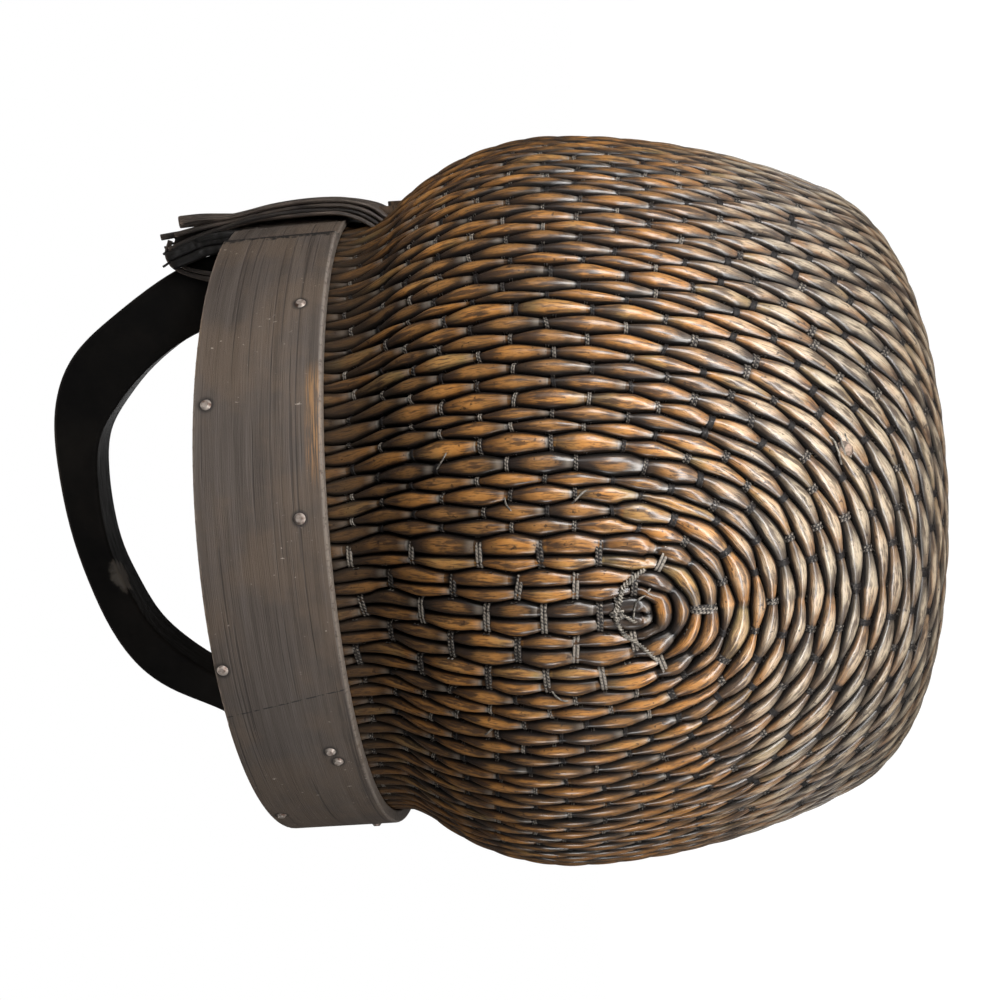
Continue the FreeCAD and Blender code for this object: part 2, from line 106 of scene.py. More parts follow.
def seed_length():
    """The outline length at the height where the seed line ends."""
    lengths = np.linspace(0, NECK_TOP, 4000)
    heights = wall_point(np.zeros(4000), lengths, np.zeros(4000))[:, 2]
    return float(np.interp(SEED_HEIGHT, heights, lengths))


SEED_LENGTH = seed_length()


def nest(turn, drop):
    """How far a point lies from the seed line, as an angle on a ball that stands for the bowl.

    turn is the bearing from the seed line and drop the angle below its end. The cosine of the
    distance is the cosine of turn times that of a softened drop, which fades to none above the end
    and is the softer the further the point lies to the side.
    """
    soft = 0.5 * np.arcsin(np.clip(np.abs(np.sin(turn)) * np.cos(np.maximum(drop, 0)), 0, 1)) + 0.004
    fall = soft * np.logaddexp(0, drop / soft)
    return np.arccos(np.clip(np.cos(turn) * np.cos(np.minimum(fall, math.pi / 2)), -1, 1))


def lay_rod(rank, run, sway):
    """Bearing from the seed line and outline length where rank is met along run.

    run goes from -2 at the left rim through -1 level with the seed's end, 0 straight below it and 1
    level with it again, to 2 at the right rim. Above the end the height is known and below it the
    direction from the end, and the other value is found by halving.
    """
    target = rank * ROD_TURN
    side = np.sign(run)
    above = np.abs(run) > 1
    drop = -(np.abs(run) - 1) * (WALL_TOP / SEED_LENGTH - 1) * math.pi / 2
    heading = run * math.pi / 2
    low = np.zeros(np.broadcast(target, run).shape)
    high = low + math.pi / 2
    for _ in range(34):
        middle = (low + high) / 2
        fall = np.arcsin(np.clip(np.sin(middle) * np.cos(heading), -1, 1))
        across = np.arctan2(np.sin(middle) * np.abs(np.sin(heading)), np.cos(middle))
        distance = np.where(above, nest(middle, drop), nest(across, fall))
        low = np.where(distance < target, middle, low)
        high = np.where(distance < target, high, middle)
    middle = (low + high) / 2
    fall = np.arcsin(np.clip(np.sin(middle) * np.cos(heading), -1, 1))
    across = np.arctan2(np.sin(middle) * np.abs(np.sin(heading)), np.cos(middle))
    turn = side * np.where(above, middle, across)
    length = SEED_LENGTH * (1 - np.where(above, drop, fall) / (math.pi / 2))
    return turn + sway, length


def bind_length(rank):
    """The length of rod between two bindings: short by the seed line and longer away from it."""
    return 21.5 + 8.0 * np.clip((rank - 3) / 12, 0, 1)


def bindings(rank, run):
    """Counts bindings along each rod: whole numbers are bindings outside and halves are inside."""
    paired = np.where(rank < 5, np.floor((rank + 1) / 2), rank - 2)
    spacing = bind_length(rank)
    around = 556.0 * np.sin((rank + 0.5) * ROD_TURN) / spacing
    rise = np.maximum(np.abs(run) - 1, 0) * (WALL_TOP - SEED_LENGTH)
    near = 55.0
    extra = np.minimum(rise, near) / spacing + np.maximum(rise - near, 0) / 29.5
    whole = near / spacing - near / 29.5
    settle = np.clip((np.abs(run) - 0.4) / 0.6, 0, 1)
    settle = settle * settle * (3 - 2 * settle)
    miss = around / 2 - np.round(around / 2 + whole) + whole
    return np.minimum(np.abs(run), 1) * around / 2 + extra - settle * miss + 0.5 * paired


def wave(seed, count, terms=5):
    """A smooth random curve per row over run: a sum of sines with falling weight."""
    random = np.random.default_rng(seed)
    weights = random.normal(size=(count, terms)) / np.arange(1, terms + 1)
    shifts = random.uniform(0, 2 * math.pi, (count, terms))
    speeds = np.arange(1, terms + 1) * 1.7
    return lambda run: np.sum(
        weights[..., None] * np.sin(run[:, None, :] * speeds[:, None] + shifts[..., None]), axis=1)


class Weave:
    """One half of the woven wall: the place, width and bulge of every rod along its run."""

    def __init__(self, bearing, seed):
        self.bearing = bearing
        random = np.random.default_rng(seed)
        self.jitter = random.normal(0, 0.035, RODS)
        self.girth = random.normal(0, 0.09, (RODS, 64))
        self.drift = wave(seed + 1, RODS + 1)
        self.slip = wave(seed + 2, RODS)

    def count(self, ranks, run):
        """Bindings counted along the rods of these ranks, with a little unevenness."""
        inside = np.clip(ranks, 0, RODS - 1)
        rows = run * np.ones((len(ranks), 1))
        slip = self.slip(np.broadcast_to(run, (RODS, run.shape[-1])))[inside]
        return bindings(inside[:, None], rows) + self.jitter[inside, None] + 0.035 * slip

    def bulge(self, ranks, run):
        """0 at a binding and 1 midway between two."""
        return np.abs(np.sin(math.pi * self.count(ranks, run))) ** 0.9

    def girths(self, ranks, run):
        """How thick each piece of rod is: it changes where one rod ends and the next begins."""
        inside = np.clip(ranks, 0, RODS - 1)
        count = self.count(ranks, run) * np.sign(run)
        piece = np.floor((count + inside[:, None] * 3.7) / 9).astype(int) % 64
        return np.take_along_axis(self.girth[inside], piece, axis=1), piece

    def edge(self, ranks, run):
        """The line between rod ranks - 1 and rod ranks, pushed over by whichever bulges more."""
        below = self.bulge(ranks - 1, run)
        above = self.bulge(ranks, run)
        thick = self.girths(ranks - 1, run)[0] - self.girths(ranks, run)[0]
        sway = 0.07 * self.drift(np.broadcast_to(run, (RODS + 1, run.shape[-1])))[np.clip(ranks, 0, RODS)]
        shift = 0.15 * (below - above) + 0.5 * thick + sway
        free = (ranks > 0) & (ranks < RODS)
        return ranks[:, None] + np.where(free[:, None], shift, 0.0)

    def hollow(self, points):
        """1 in the small dark hollow where the seed line ends, falling to 0 round its oval."""
        centre = wall_point(SEED_BEARING + self.bearing + math.radians(0.3), SEED_LENGTH + 5.5, 2.95)
        apart = (points - centre) / (9.5, 9.5, 6.0)
        return np.clip(1.5 - 1.1 * np.linalg.norm(apart, axis=-1), 0, 1)

    def place(self, rank, run, depth):
        turn, length = lay_rod(rank, run * np.ones_like(rank), 0.0)
        return wall_point(SEED_BEARING + self.bearing + turn, length, depth)

    def rods(self, ranks, run):
        """Centre, forward, sideways and outward directions, half width, bulge and count of rods."""
        run = run[None, :]
        low_rank = self.edge(ranks, run)
        high_rank = self.edge(ranks + 1, run)
        depth = 2.95 * np.ones_like(low_rank)
        low = self.place(low_rank, run, depth)
        high = self.place(high_rank, run, depth)
        middle = (low + high) / 2
        outer = self.place((low_rank + high_rank) / 2, run, 0 * depth)
        inner = self.place((low_rank + high_rank) / 2, run, 2 * depth)
        out = outer - inner
        out /= np.linalg.norm(out, axis=-1, keepdims=True)
        ahead = np.gradient(middle, axis=1)
        ahead /= np.maximum(np.linalg.norm(ahead, axis=-1, keepdims=True), 1e-9)
        across = np.cross(ahead, out)
        across /= np.linalg.norm(across, axis=-1, keepdims=True)
        out = np.cross(across, ahead)
        gap = high - low
        half = np.abs(np.sum(gap * across, axis=-1)) / 2
        bulge = self.bulge(ranks, run)
        middle = middle + out * (0.55 * (2 * bulge - 1) - 0.25 - 1.5 * self.hollow(middle))[..., None]
        return middle, ahead, across, out, half, bulge


def add_mesh(name, points, faces, smooth=True):
    """A mesh of points in millimetres and faces, as an object that rides on the basket."""
    mesh = bpy.data.meshes.new(name)
    mesh.from_pydata(points.reshape(-1, 3) / 1000, [], faces.tolist())
    mesh.polygons.foreach_set("use_smooth", np.full(len(mesh.polygons), smooth))
    piece = bpy.data.objects.new(name, mesh)
    bpy.context.scene.collection.objects.link(piece)
    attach(piece, "root")
    return piece


def tube_faces(tubes, rings, sides):
    """Quads of closed tubes that point outwards, with a fan of two quads or so at each end."""
    ring = np.arange(rings - 1)[:, None] * sides
    side = np.arange(sides)[None, :]
    after = (side + 1) % sides
    quads = np.stack([ring + side, ring + after, ring + sides + after, ring + sides + side], axis=-1).reshape(-1, 4)
    start = np.arange(tubes)[:, None, None] * rings * sides
    walls = (quads[None] + start).reshape(-1, 4)
    half = sides // 2
    step = np.arange(half - 1)
    cap = np.stack([step, sides - 1 - step, sides - 2 - step, step + 1], axis=-1)
    last = (rings - 1) * sides
    caps = np.concatenate([cap[None] + start, cap[None, :, ::-1] + last + start]).reshape(-1, 4)
    return walls, caps


def paint(piece, **values):
    """Stores numbers per point, such as how far a spot is from a binding, for the material."""
    for name, numbers in values.items():
        layer = piece.data.attributes.new(name, "FLOAT", "POINT")
        layer.data.foreach_set("value", np.ascontiguousarray(numbers, np.float32).ravel())


def grain_map(piece, along, around, walls, caps):
    """The piece's own map: distance along the rod and round it, without a seam."""
    layer = piece.data.uv_layers.new(name="grain")
    u = np.concatenate([along.ravel()[walls], along.ravel()[caps]]).reshape(-1)
    v = np.concatenate([around.ravel()[walls], around.ravel()[caps]])
    wrap = (v.max(axis=1) - v.min(axis=1)) > 0.5
    v = np.where(wrap[:, None] & (v < 0.5), v + 1, v).reshape(-1)
    layer.data.foreach_set("uv", np.stack([u, v], axis=-1).astype(np.float32).ravel())


def rod_mesh(name, weave, ranks, samples, sides=10):
    """Rods as tubes: an oval of half width by half height round each centre, swept along the run.

    The outer half of the oval narrows towards each binding, and the inner half touches the next rod.
    """
    side_run = np.linspace(1, 2, 66)
    turn_run = np.linspace(-1, 1, samples)
    run = np.concatenate([-side_run[::-1], turn_run[1:-1], side_run])
    middle, ahead, across, out, half, bulge = weave.rods(ranks, run)
    angle = (np.arange(sides) + 0.5) / sides * 2 * math.pi
    waist = np.where(np.sin(angle) > 0, 0.78 + 0.19 * bulge[..., None], 1.07)
    width = (half[..., None] * waist * np.cos(angle))[..., None]
    height = (2.4 + 0.3 * bulge)[..., None, None] * np.sin(angle)[:, None]
    points = middle[..., None, :] + across[..., None, :] * width + out[..., None, :] * height
    walls, caps = tube_faces(len(ranks), len(run), sides)
    piece = add_mesh(name, points, np.concatenate([walls, caps]))
    ones = np.ones(points.shape[:3])
    count = weave.count(ranks, run[None, :])
    steps = np.linalg.norm(np.diff(middle, axis=1, prepend=middle[:, :1]), axis=-1)
    along = np.cumsum(steps, axis=1) / 1000
    _, stick = weave.girths(ranks, run[None, :])
    turn_side = np.where(run > 0, 1, 0)
    bead = np.floor(count) * 2 + turn_side[None, :]
    spread = (stick * 0.137 + ranks[:, None] * 0.618) % 1
    fleck = np.sin(bead * 12.9898 + ranks[:, None] * 78.233) * 43758.5453
    paint(
        piece,
        bulge=bulge[..., None] * ones,
        hollow=weave.hollow(middle)[..., None] * ones,
        face=np.sin(angle) * ones,
        stick=spread[..., None] * ones,
        bead=(fleck - np.floor(fleck))[..., None] * ones,
        ahead_share=(count - np.floor(count))[..., None] * ones,
    )
    around = angle / (2 * math.pi) * ones
    grain_map(piece, (along[..., None] * ones), around, walls, caps)
    return piece


front = Weave(0.0, 11)
back = Weave(math.pi, 47)
rod_pieces = []
for tag, half in (("front", front), ("back", back)):
    rod_pieces.append(rod_mesh(f"rods_{tag}_inner", half, np.arange(0, 9), 66))
    rod_pieces.append(rod_mesh(f"rods_{tag}_middle", half, np.arange(9, 21), 140))
    rod_pieces.append(rod_mesh(f"rods_{tag}_outer", half, np.arange(21, RODS), 214))


class Stain:
    """One value in a material. Sums, products and the like of two of them add Math nodes."""

    def __init__(self, socket):
        self.socket = socket
        self.tree = socket.id_data

    def step(self, kind, settings=None, sockets=None, out=0):
        """A node of a kind, with its settings made first and its sockets filled or linked."""
        node = self.tree.nodes.new(kind)
        for name, value in (settings or {}).items():
            if name == "stops":
                ramp = node.color_ramp
                while len(ramp.elements) < len(value):
                    ramp.elements.new(1.0)
                for element, (position, colour) in zip(ramp.elements, value):
                    element.position = position
                    element.color = (*colour, 1.0)
            else:
                setattr(node, name, value)
        for name, value in (sockets or {}).items():
            target = node.inputs[name]
            if isinstance(value, Stain):
                self.tree.links.new(value.socket, target)
            elif isinstance(value, tuple) and target.type == "RGBA":
                target.default_value = (*value, 1.0)
            else:
                target.default_value = value
        return Stain(node.outputs[out])

    def maths(self, operation, *others):
        values = {number: value for number, value in enumerate((self, *others))}
        return self.step("ShaderNodeMath", {"operation": operation}, values)

    def __add__(self, other):
        return self.maths("ADD", other)

    __radd__ = __add__

    def __mul__(self, other):
        return self.maths("MULTIPLY", other)

    __rmul__ = __mul__

    def __sub__(self, other):
        return self.maths("SUBTRACT", other)

    def __rsub__(self, other):
        return self * -1 + other

    def __truediv__(self, other):
        return self.maths("DIVIDE", other)

    def __pow__(self, other):
        return self.maths("POWER", other)

    def between(self, low, high):
        """0 below low and 1 above high, with a smooth step between them."""
        return self.step(
            "ShaderNodeMapRange", {"interpolation_type": "SMOOTHSTEP", "clamp": True},
            {"Value": self, "From Min": low, "From Max": high, "To Min": 0.0, "To Max": 1.0})

    def noise(self, scale, detail=4.0, roughness=0.55):
        """Noise at this vector."""
        return self.step(
            "ShaderNodeTexNoise", None,
            {"Vector": self, "Scale": scale, "Detail": detail, "Roughness": roughness})

    def scaled(self, x, y, z):
        """This vector, stretched."""
        return self.step("ShaderNodeVectorMath", {"operation": "MULTIPLY"}, {0: self, 1: (x, y, z)})


def blend(share, first, second):
    """first where share is 0 and second where it is 1, for colours."""
    mixed = share.step("ShaderNodeMix", {"data_type": "RGBA"}, {0: share}, 2)
    node = mixed.socket.node
    for slot, value in ((6, first), (7, second)):
        if isinstance(value, Stain):
            node.id_data.links.new(value.socket, node.inputs[slot])
        else:
            node.inputs[slot].default_value = (*value, 1.0)
    return mixed


def new_finish(name):
    """A material with one Principled surface, and a Stain to start its nodes from."""
    finish = bpy.data.materials.new(name)
    finish.use_nodes = True
    tree = finish.node_tree
    tree.nodes.clear()
    surface = tree.nodes.new("ShaderNodeBsdfPrincipled")
    output = tree.nodes.new("ShaderNodeOutputMaterial")
    tree.links.new(surface.outputs[0], output.inputs[0])
    return finish, surface, Stain(surface.outputs[0])


def feed(surface, **values):
    """Fills the surface's sockets, whose names are given with _ for a space."""
    for name, value in values.items():
        target = surface.inputs[name.replace("_", " ")]
        if isinstance(value, Stain):
            surface.id_data.links.new(value.socket, target)
        elif isinstance(value, tuple):
            target.default_value = (*value, 1.0)
        else:
            target.default_value = value


def bumped(height, strength, distance):
    return height.step("ShaderNodeBump", None, {"Height": height, "Strength": strength, "Distance": distance})


def stored(start, name):
    return start.step("ShaderNodeAttribute", {"attribute_name": name}, None, 2)


willow, willow_surface, start = new_finish("varnished_willow")
grain = start.step("ShaderNodeUVMap", {"uv_map": "grain"})
bulge = stored(start, "bulge")
face = stored(start, "face")
stick = stored(start, "stick")
bead = stored(start, "bead")
place = start.step("ShaderNodeTexCoord", None, None, 3)
streaks = grain.scaled(70.0, 8.0, 1.0).noise(1.0, 5.0, 0.6)
fibres = grain.scaled(160.0, 26.0, 1.0).noise(1.0, 3.0, 0.6)
blotch = place.noise(70.0, 3.0, 0.55)
broad = place.noise(8.0, 2.0, 0.5)
pits = place.noise(420.0, 2.0, 0.5)
share = stored(start, "ahead_share")
tone = stick * 0.58 + bead * 0.42 + blotch * 1.0 + broad * 0.6 - 0.87
base = tone.step(
    "ShaderNodeValToRGB",
    {"stops": [
        (0.06, (0.013, 0.009, 0.006)),
        (0.26, (0.045, 0.027, 0.0125)),
        (0.45, (0.13, 0.06, 0.017)),
        (0.68, (0.3, 0.127, 0.028)),
        (0.95, (0.21, 0.14, 0.055)),
    ]},
    {"Fac": tone})
level = start.step("ShaderNodeSeparateXYZ", None, {0: place}, 2)
foot = level.between(0.12, 0.03)
greyed = blend(foot * 0.5, base, (0.115, 0.096, 0.074))
# Painted shade: the rods are painted darker towards the neck, under the rim band.
neck_shaded = blend(level.between(0.2, 0.27) * 0.6, greyed, (0.05, 0.032, 0.02))
# Painted highlight: the crests of the beads are painted pale, creamier towards the bottom and less so towards the
# neck.
sheen_amount = (bulge * 0.8 + fibres * 1.1 - 0.55) * face.between(0.3, 0.98)
pale_below = level.between(0.132, 0.08)
lit_colour = blend(pale_below, (0.42, 0.195, 0.055), (0.47, 0.385, 0.275))
lit_share = sheen_amount.between(0.4, 0.85) * (0.48 + pale_below * 0.2 - level.between(0.2, 0.26) * 0.3)
lit = blend(lit_share, blend(pale_below * 0.3, neck_shaded, (0.1, 0.082, 0.062)), lit_colour)
lined = blend(streaks.between(0.48, 0.6) * 0.82, lit, (0.03, 0.017, 0.011))
fine = blend(fibres.between(0.5, 0.62) * 0.6, lined, (0.026, 0.017, 0.012))
# Painted highlight and shade on the upper wall: each bead's end towards the base is painted pale with a glint line,
# and its end towards the mouth is painted dark.
upper = level.between(0.1, 0.15)
ends = share.between(0.22, 0.03) * face.between(0.3, 0.9) * upper
end_highlighted = blend(ends * 0.4, fine, (0.34, 0.29, 0.24))
glint = share.between(0.085, 0.045) * face.between(0.4, 0.85) * upper * stick.between(0.1, 0.6)
glinting = blend(glint * 0.75, end_highlighted, (0.55, 0.5, 0.44))
tail_shade = share.between(0.5, 0.97) * upper
tail_shaded = blend(tail_shade * 0.75, glinting, (0.016, 0.011, 0.009))
# Painted shade: the flanks of the rods towards their gaps and the pinches at the bindings are painted near-black.
gap_shade = 1 - bulge.between(0.04, 0.42) * face.between(0.34, 0.96)
gap_shaded = blend(gap_shade * 0.97, tail_shaded, (0.003, 0.0025, 0.0023))
indoors = blend(face.between(-0.3, -0.85) * 0.85, gap_shaded, fine)
# Painted shade: the hollow where the seed line ends is painted near-black.
hollow_shaded = blend(stored(start, "hollow").between(0.0, 0.6) * 0.92, indoors, (0.011, 0.009, 0.008))
# Painted shade: the rods are painted darker just below the rim band.
collar = level.between(0.232, 0.256)
rim_shaded = blend(collar * 0.5, hollow_shaded, (0.03, 0.021, 0.014))
willow_colour = blend(pits.between(0.66, 0.72) * 0.7, rim_shaded, (0.014, 0.009, 0.007))
clean = face.between(0.3, 0.8)
feed(
    willow_surface, Base_Color=willow_colour, Roughness=0.4 + streaks * 0.25 + (1 - clean) * 0.3,
    Coat_Weight=clean * (1 - collar * 0.92) * 0.75, Coat_Roughness=0.22, Coat_IOR=1.5, Specular_IOR_Level=0.12,
    Normal=bumped(streaks * 0.5 + fibres * 0.5, 0.9, 0.0011))
for piece in rod_pieces:
    piece.data.materials.append(willow)
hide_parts("woven_body")


# Hemp bindings
# Each binding is two turns of waxed hemp cord that lie side by side over a rod and dive into the
# gaps beside it. Beside the seed line they go over two rods at a time. The same cords show inside.


def binding_mesh(name, weave, inside):
    """Cord laid over rods: a profile with two humps, carried along an arc over the rod's oval.

    Where two rods are bound together the arc spans both and is flatter: the sine of its angle is
    raised to a power below one. The lobes are wider there and round the turn.
    """
    run = np.concatenate([-np.linspace(2, 1, 400), np.linspace(-1, 1, 1200)[1:-1], np.linspace(1, 2, 400)])
    ranks = np.arange(RODS)
    middle, ahead, across, out, half, _ = weave.rods(ranks, run)
    count = weave.count(ranks, run[None, :]) + (0.5 if inside else 0.0)
    crossing = np.floor(count[:, 1:]) != np.floor(count[:, :-1])
    rank, where = np.nonzero(crossing)
    keep = (rank > 4) | (rank == 1) | (rank == 3) | ((rank == 0) & (run[where] > 1.03))
    rank, where = rank[keep], where[keep]
    paired = rank < 5
    mate = np.where(paired & (rank > 0), rank + 1, rank)
    there = np.where(rank == 0, len(run) - 1 - where, where)
    apart = np.linalg.norm(middle[mate, there] - middle[rank, where], axis=-1)
    sweep = np.radians(np.linspace(-28, 208, 10 if not inside else 6))
    lobes = np.array([(-0.82, 0.0), (-0.6, 0.46), (-0.32, 0.5), (0.0, 0.2), (0.32, 0.5), (0.6, 0.46), (0.82, 0.0), (0, -0.25)])
    if inside:
        lobes = lobes[[0, 1, 3, 5, 6, 7]]
    centre = ((middle[rank, where] + middle[mate, there]) / 2)[:, None, None, :]
    way = ahead[rank, where][:, None, None, :]
    wide = across[rank, where][:, None, None, :]
    up = out[rank, where][:, None, None, :] * (-1 if inside else 1)
    width = (half[rank, where] * 0.97 + apart / 2)[:, None, None, None]
    lift = lobes[None, None, :, 1, None]
    cos = np.cos(sweep)[None, :, None, None]
    power = np.where(paired, 0.4, 1.0)[:, None, None, None]
    sin = np.sign(np.sin(sweep))[None, :, None, None] * np.abs(np.sin(sweep))[None, :, None, None] ** power
    random = np.random.default_rng(5)
    slant = random.normal(0, 0.10, len(rank))[:, None, None, None]
    thick = (1 + 0.75 * ((np.abs(run[where]) < 0.85) | paired))[:, None, None, None]
    points = (
        centre + wide * cos * (width + lift * 0.9) + up * sin * (2.3 + lift)
        + way * (lobes[None, None, :, 0, None] * thick + slant * cos * 3))
    points = points.reshape(len(rank), len(sweep), len(lobes), 3)
    walls, caps = tube_faces(len(rank), len(sweep), len(lobes))
    faces = walls if inside else walls[:, ::-1]
    piece = add_mesh(name, points, faces)
    ones = np.ones(points.shape[:3])
    reach = np.cumsum(np.linalg.norm(np.diff(points, axis=1, prepend=points[:, :1]), axis=-1), axis=1)
    # Painted glint: how pale the glint on each binding is, less round the turn.
    sheen_amount = np.where(paired, random.uniform(0.55, 0.95, len(rank)), random.uniform(0.22, 0.9, len(rank)))
    sheen_amount = np.where(~paired & (np.abs(run[where]) < 0.85), sheen_amount * 0.75, sheen_amount)
    paint(
        piece, hump=lobes[:, 1] * ones, cord=sheen_amount[:, None, None] * ones, reach=reach,
        beside=lobes[:, 0] * thick[..., 0] * ones)
    return piece


hemp, hemp_surface, start = new_finish("waxed_hemp")
hump = stored(start, "hump")
cord = stored(start, "cord")
place = start.step("ShaderNodeTexCoord", None, None, 3)
lay = place.noise(900.0, 2.0, 0.5)
twist = (stored(start, "reach") * 4.4 + stored(start, "beside") * 2.6).maths("SINE")
# Painted glint: the humps of the cord are painted pale in patches along its twist.
pale = (cord * 0.9 + lay * 0.6 + twist * 0.16).between(0.72, 1.2) * hump.between(0.2, 0.46)
hemp_colour = blend(pale * 0.62, (0.007, 0.0055, 0.005), (0.31, 0.27, 0.225))
feed(hemp_surface, Base_Color=hemp_colour, Roughness=0.6, Specular_IOR_Level=0.2, Normal=bumped(lay, 0.4, 0.0004))
for tag, half in (("front", front), ("back", back)):
    for inside in (False, True):
        piece = binding_mesh(f"bindings_{tag}_{'inside' if inside else 'outside'}", half, inside)
        piece.data.materials.append(hemp)


# Seed knot, loose threads and knob
# The weaving starts at the end of the seed line with a knot of two-ply cord, from which loose ends
# spread over a small hollow. Other cord ends stick out between the rods, and one rod has a knob.

# Points (degrees from the seed line, millimetres of outline, depth), radius and number of plies.
SEED_CORDS = [
    ([(5.6, 265.5, 1.6), (4.3, 271.2, 0.7), (3.4, 273.9, 0.6), (1.6, 275.3, 0.7), (0.2, 277.1, 1.0)], 0.62, 2),
    ([(0.2, 277.1, 1.0), (-1.0, 275.8, 0.8), (-2.2, 273.9, 0.8), (-3.0, 271.6, 1.6)], 0.5, 2),
    ([(3.3, 277.6, 1.6), (2.0, 276.4, 1.0), (0.6, 275.8, 0.9), (-0.3, 272.0, 1.0), (-1.0, 268.8, 1.4)], 0.4, 2),
    ([(3.2, 263.6, 1.4), (2.5, 265.6, 0.8), (1.9, 268.3, 0.9), (1.0, 269.6, 1.0), (-0.4, 270.2, 1.3)], 0.42, 1),
    ([(-2.2, 274.5, 1.6), (-3.1, 270.7, 0.9), (-4.2, 266.7, 0.5), (-5.0, 264.5, 0.4), (-6.2, 261.2, 1.6)], 0.5, 2),
    ([(0.4, 278.6, 2.0), (0.3, 277.2, 0.6), (-0.3, 275.6, 0.7), (0.6, 274.4, 0.8), (0.9, 276.4, 0.6), (0.0, 277.8, 1.4)], 0.5, 2),
]
LOOSE_THREADS = [
    ([(18.6, 343.0, 1.4), (19.6, 340.0, 0.2), (20.8, 337.2, 0.4), (21.6, 333.4, 1.5)], 0.36, 1),
    ([(12.2, 310.6, 1.5), (13.0, 312.6, 0.2), (14.0, 315.0, 0.4), (15.2, 315.8, 1.6)], 0.36, 1),
    ([(13.4, 292.0, 1.5), (14.2, 289.4, 0.2), (15.0, 286.6, 0.6), (15.4, 283.6, 1.6)], 0.36, 1),
    ([(-9.0, 302.0, 1.5), (-9.8, 300.2, 0.2), (-10.6, 297.4, 0.4), (-10.9, 294.4, 1.6)], 0.36, 1),
    ([(-17.4, 330.6, 1.5), (-16.6, 327.8, 0.3), (-15.8, 325.6, 1.5)], 0.36, 1),
    ([(21.4, 192.4, 1.5), (20.6, 190.4, 0.1), (18.9, 188.6, 0.2), (17.4, 187.0, 1.4)], 0.42, 1),
    ([(22.4, 189.8, 1.5), (21.2, 188.0, 0.0), (19.6, 186.4, 0.2), (17.8, 184.6, 1.4)], 0.42, 1),
    ([(22.8, 187.0, 1.5), (21.6, 185.6, 0.1), (20.0, 184.0, 0.3), (18.4, 182.6, 1.4)], 0.42, 1),
]


def cord_mesh(name, weave, cords):
    """Cords over the wall: each ply is a tube whose centre winds round a smooth line of points.

    The line is a Catmull-Rom curve through points of the wall. A ply's centre lies off it by its own
    radius, in a direction that turns once in every 2.6 mm.
    """
    rings, sides = 64, 6
    angle = np.arange(sides) / sides * 2 * math.pi
    plies, shades = [], []
    for line, radius, number in cords:
        line = np.array(line, float)
        line = np.concatenate([2 * line[:1] - line[1:2], line, 2 * line[-1:] - line[-2:-1]])
        where = np.linspace(0, len(line) - 3 - 1e-6, rings)
        piece = where.astype(int)
        t = (where - piece)[:, None]
        p0, p1, p2, p3 = (line[piece + step] for step in range(4))
        turn, length, depth = (0.5 * (
            2 * p1 + (p2 - p0) * t + (2 * p0 - 5 * p1 + 4 * p2 - p3) * t ** 2
            + (3 * p1 - p0 - 3 * p2 + p3) * t ** 3)).T
        bearing = SEED_BEARING + weave.bearing + np.radians(turn)
        middle = wall_point(bearing, length, depth + 0.3)
        out = middle - wall_point(bearing, length, depth + 1.3)
        ahead = np.gradient(middle, axis=0)
        ahead /= np.linalg.norm(ahead, axis=-1, keepdims=True)
        across = np.cross(ahead, out)
        across /= np.linalg.norm(across, axis=-1, keepdims=True)
        out = np.cross(across, ahead)
        travel = np.cumsum(np.linalg.norm(np.diff(middle, axis=0, prepend=middle[:1]), axis=-1))
        for ply in range(number):
            wind = travel / 2.6 * 2 * math.pi + ply * math.pi
            off = radius * 0.9 * (number - 1) * (across * np.cos(wind)[:, None] + out * np.sin(wind)[:, None])
            ring = np.cos(angle)[:, None] * across[:, None] + np.sin(angle)[:, None] * out[:, None]
            plies.append((middle + off)[:, None] + radius * ring)
            shades.append(number - 1)
    points = np.array(plies)
    walls, caps = tube_faces(len(plies), rings, sides)
    piece = add_mesh(name, points, np.concatenate([walls, caps]))
    paint(piece, plied=np.array(shades, float)[:, None, None] * np.ones(points.shape[:3]))
    return piece


thread, thread_surface, start = new_finish("loose_hemp")
place = start.step("ShaderNodeTexCoord", None, None, 3)
fuzz = place.noise(500.0, 3.0, 0.6)
shade = (fuzz + stored(start, "plied") * 0.06).between(0.36, 0.66)
feed(
    thread_surface, Base_Color=blend(shade, (0.012, 0.01, 0.0085), (0.19, 0.168, 0.138)), Roughness=0.6,
    Normal=bumped(fuzz, 0.3, 0.0004))
for tag, half in (("front", front), ("back", back)):
    piece = cord_mesh(f"cords_{tag}", half, SEED_CORDS + (LOOSE_THREADS if tag == "front" else LOOSE_THREADS[:4]))
    piece.data.materials.append(thread)

level = np.linspace(0.03, 0.97, 11) * math.pi
turn = (np.arange(14) + 0.5) / 14 * 2 * math.pi
seat = SEED_BEARING + math.radians(19.7)
middle = wall_point(seat, 184.5, 2.2)
out = middle - wall_point(seat, 184.5, 3.2)
upward = np.cross(out, (0.0, 1.0, 0.0))
upward /= np.linalg.norm(upward)
across = np.cross(upward, out)
lumps = 1 + 0.09 * np.sin(3 * turn + 2 * level[:, None]) + 0.06 * np.sin(7 * turn + 5 * level[:, None])
radius = np.sin(level)[:, None] * lumps
points = (
    middle + (-3.6 * np.cos(level))[:, None, None] * upward + (3.2 * radius * np.cos(turn))[..., None] * across
    + (2.5 * radius * np.sin(turn))[..., None] * out)
walls, caps = tube_faces(1, 11, 14)
knob = add_mesh("knob", points, np.concatenate([walls, caps]))
knob_bark, knob_surface, start = new_finish("knob_bark")
place = start.step("ShaderNodeTexCoord", None, None, 3)
crust = place.noise(420.0, 5.0, 0.65)
feed(
    knob_surface, Base_Color=blend(crust.between(0.38, 0.62), (0.05, 0.034, 0.024), (0.24, 0.17, 0.125)),
    Roughness=0.7, Normal=bumped(crust, 0.8, 0.0008))
knob.data.materials.append(knob_bark)


